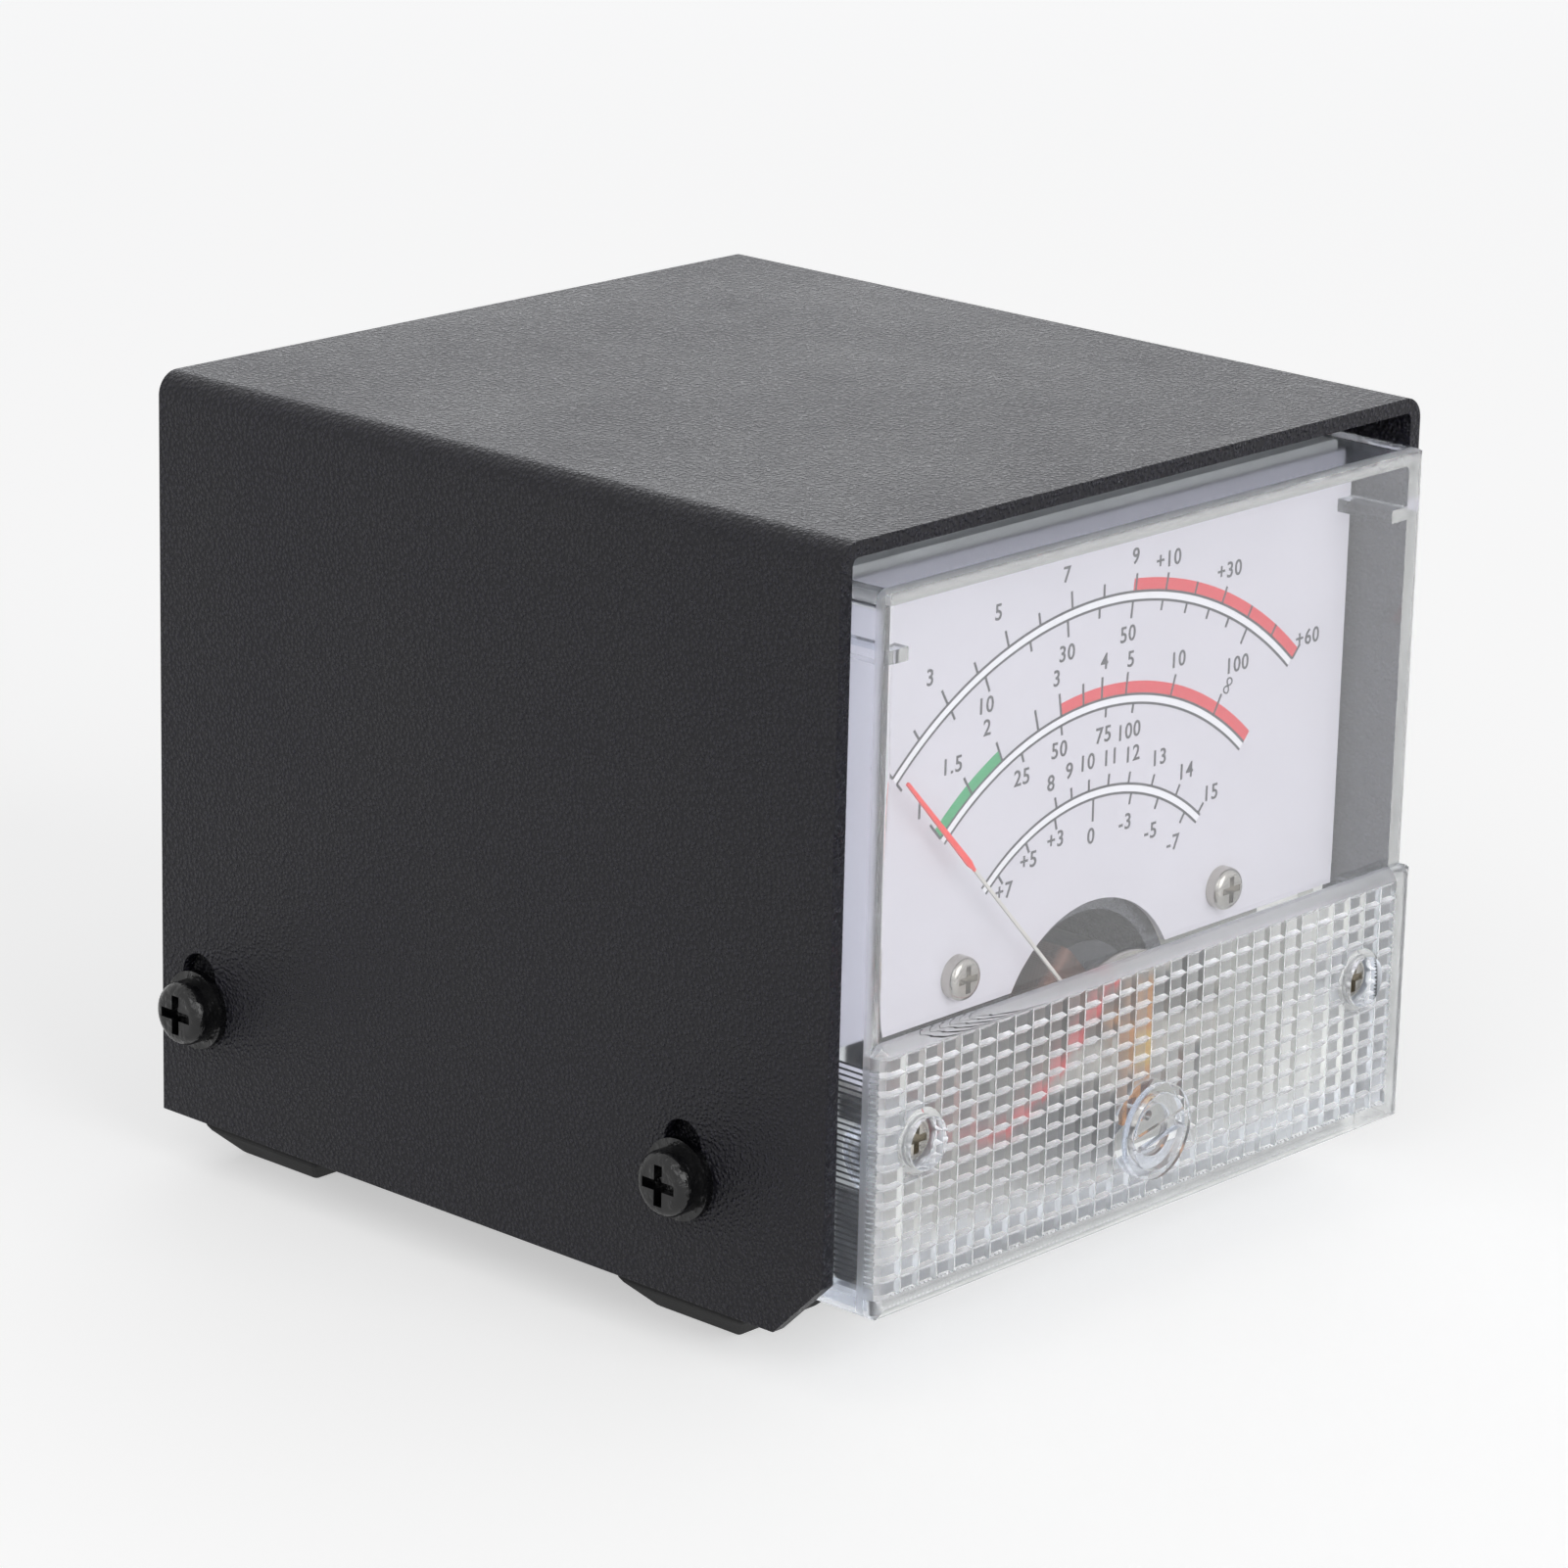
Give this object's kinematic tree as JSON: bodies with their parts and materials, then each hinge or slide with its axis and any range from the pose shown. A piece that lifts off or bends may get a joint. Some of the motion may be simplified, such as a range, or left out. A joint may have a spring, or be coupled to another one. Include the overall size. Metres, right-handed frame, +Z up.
{
  "type": "swr meter",
  "caption": "Free-standing black metal case on rubber feet around a clear-fronted moving-coil meter with printed scales, for reading a radio's standing-wave ratio and signal.",
  "frame": {"origin": "middle of the footprint of the whole part, on the surface that the four feet stand on", "axes": "+X is the reader's right, the dial faces -Y, +Z is up"},
  "size_m": [0.0706, 0.0762, 0.063],
  "materials": {
    "black_coat": "fine-grained matt powder coat",
    "chassis_paint": "satin powder coat",
    "black_steel": "blackened steel",
    "black_rubber": "matt",
    "clear_acrylic": "clear moulded plastic",
    "nickel": "nickel plate",
    "steel": "bright zinc plate",
    "soft_iron": "turned soft iron",
    "magnet": "ground alloy magnet",
    "brass": "turned",
    "bronze": "rolled strip",
    "copper": "enamelled winding",
    "dial_white": "matt white with plain printed scales",
    "pointer_red": "painted",
    "black_plastic": "moulded",
    "pale_plastic": "natural moulded plastic",
    "red_wire": "insulated wire",
    "black_wire": "insulated wire",
    "board_green": "glass-fibre board",
    "resistor_tan": "lacquered",
    "trimmer_blue": "moulded",
    "trimmer_white": "moulded"
  },
  "bodies": {
    "case": {"top_cover": "black_coat", "chassis": "chassis_paint", "cover_screws": "black_steel", "cover_washers": "black_steel", "feet": "black_rubber", "meter_lens": "clear_acrylic", "lens_screws": "nickel", "meter_base": "pale_plastic", "mounting_studs": "steel", "mounting_nuts": "steel", "dial_plate": "dial_white", "dial_screws": "nickel", "movement_frame": "black_plastic", "frame_screws": "nickel", "yoke_ring": "soft_iron", "core_magnet": "magnet", "core_bracket": "nickel", "front_bridge": "nickel", "jewel_screws": "brass", "rear_hairspring": "bronze", "coil_lead": "red_wire", "terminal_studs": "brass", "terminal_nuts": "brass", "solder_lugs": "nickel", "lead_red": "red_wire", "lead_black": "black_wire", "circuit_board": "board_green", "board_pillars": "brass", "pillar_screws": "steel", "resistors": "resistor_tan", "jack_socket": "black_plastic", "jack_nut": "nickel", "trimmer_body": "trimmer_blue"},
    "movement": {"moving_coil": "copper", "pivot_staffs": "steel", "pointer": "pointer_red", "balance_arms": "nickel"},
    "zero_arm": {"zero_lever": "bronze", "front_hairspring": "bronze"},
    "adjuster": {"zero_adjuster": "clear_acrylic"},
    "trimmer": {"trimmer_rotor": "trimmer_white"}
  },
  "joints": [
    {"name": "pointer_swing", "type": "hinge", "parent": "case", "child": "movement", "pos_m": [0, -0.0235, 0.0191], "axis": [0, 1, 0], "range_deg": [-2, 89], "stiffness_Nm_per_rad": 0.00006},
    {"name": "zero_turn", "type": "hinge", "parent": "case", "child": "adjuster", "pos_m": [0, -0.0363, 0.0132], "axis": [0, 1, 0], "range_deg": [-40, 40]},
    {"name": "zero_shift", "type": "hinge", "parent": "case", "child": "zero_arm", "pos_m": [0, -0.0341, 0.0191], "axis": [0, 1, 0], "range_deg": [-7.8, 7.8]},
    {"name": "trimmer_turn", "type": "hinge", "parent": "case", "child": "trimmer", "pos_m": [0.011, 0.0307, 0.0187], "axis": [0, 1, 0], "range_deg": [-135, 135]}
  ],
  "couplings": [
    {"joint": "zero_shift", "follows": "zero_turn", "ratio": -0.19}
  ]
}
